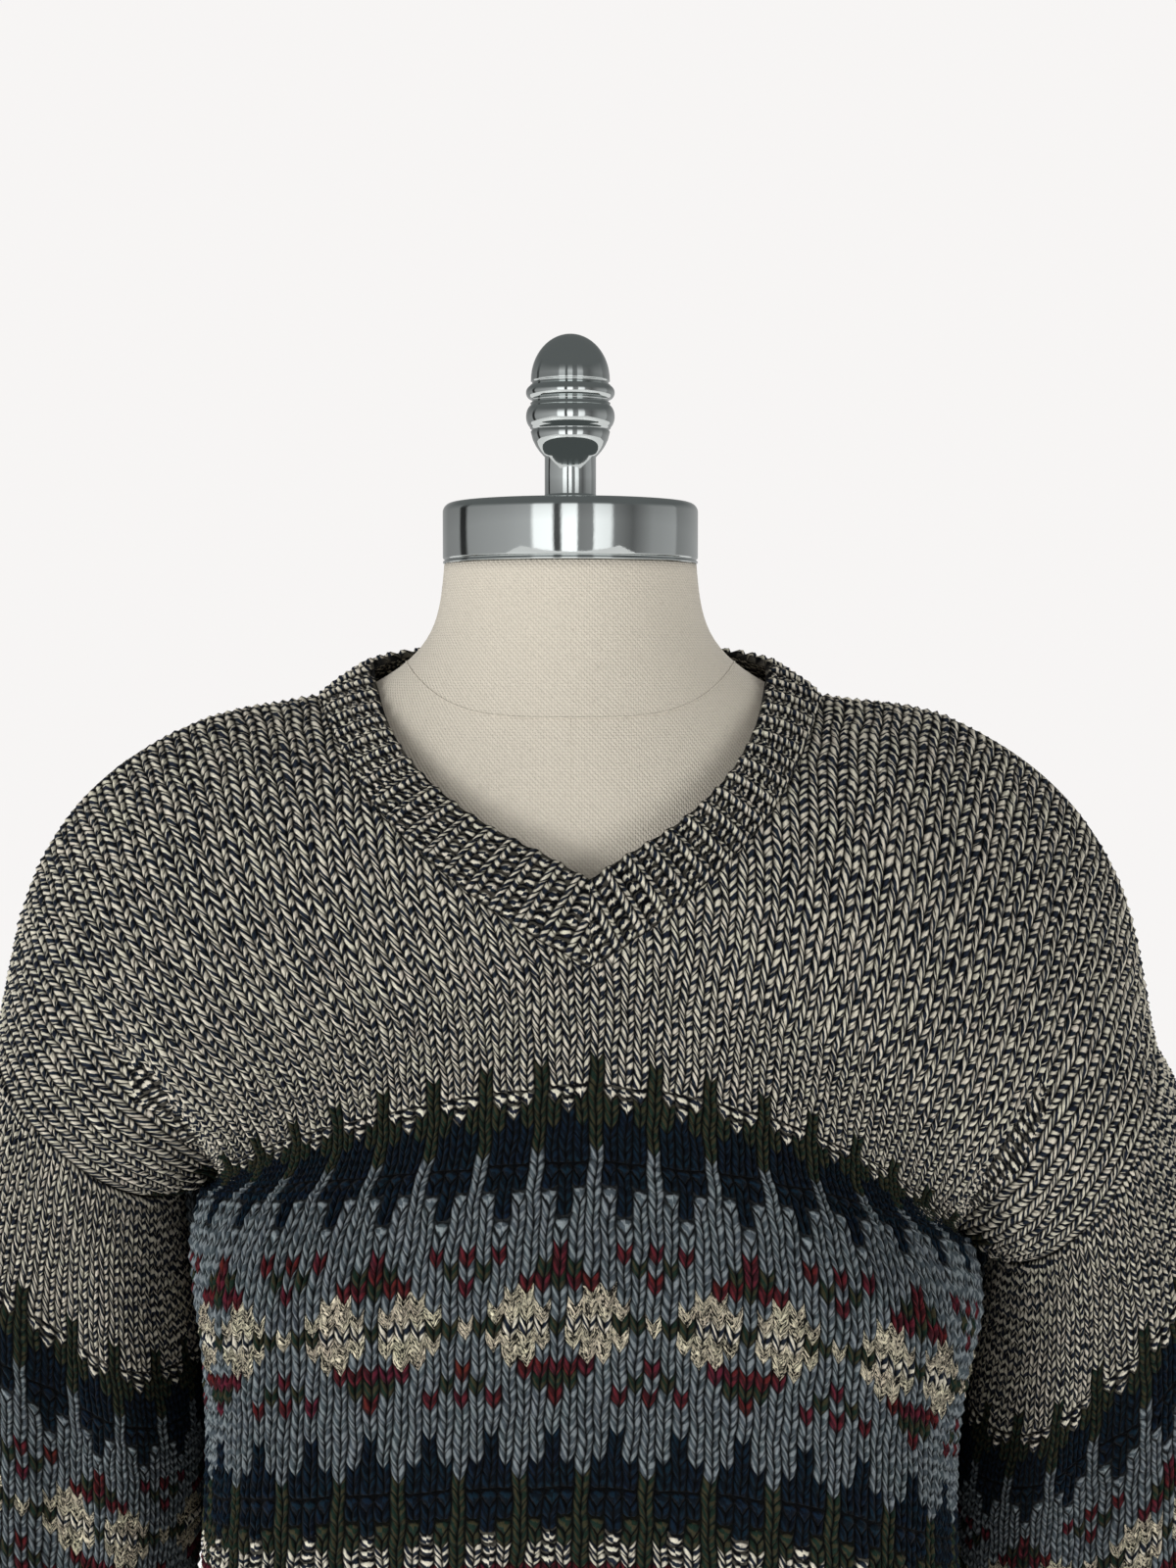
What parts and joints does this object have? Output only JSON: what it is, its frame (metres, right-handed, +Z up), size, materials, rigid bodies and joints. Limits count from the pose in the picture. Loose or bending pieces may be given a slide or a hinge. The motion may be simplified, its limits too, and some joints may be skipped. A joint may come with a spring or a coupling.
{
  "type": "v-neck sweater on a limbless dress form with a stand",
  "caption": "Chunky marled V-neck drop-shoulder sweater with a patterned chest band, filled out by a linen dress form on a post and round base.",
  "frame": {"origin": "centre of the underside of the round base, where it stands", "axes": "+Z up along the post to the finial, -Y towards the front of the garment, +X towards the right sleeve as seen from the front"},
  "size_m": [0.6836, 0.34, 1.1315],
  "materials": {
    "marl_knit": "matte chunky stocking stitch, beige and navy plies twisted together",
    "marl_rib": "matte ribbing in the same marled yarn",
    "linen": "fine ecru twill cover",
    "chrome": "polished",
    "steel": "satin tube"
  },
  "bodies": {
    "root": {"front": "marl_knit", "back": "marl_knit", "sleeve_right": "marl_knit", "sleeve_left": "marl_knit", "neckband": "marl_rib", "hem_rib": "marl_rib", "cuff_right": "marl_rib", "cuff_left": "marl_rib", "form_torso": "linen", "neck_cap": "chrome", "finial": "chrome", "stand_post": "steel", "stand_base": "chrome"}
  },
  "joints": []
}
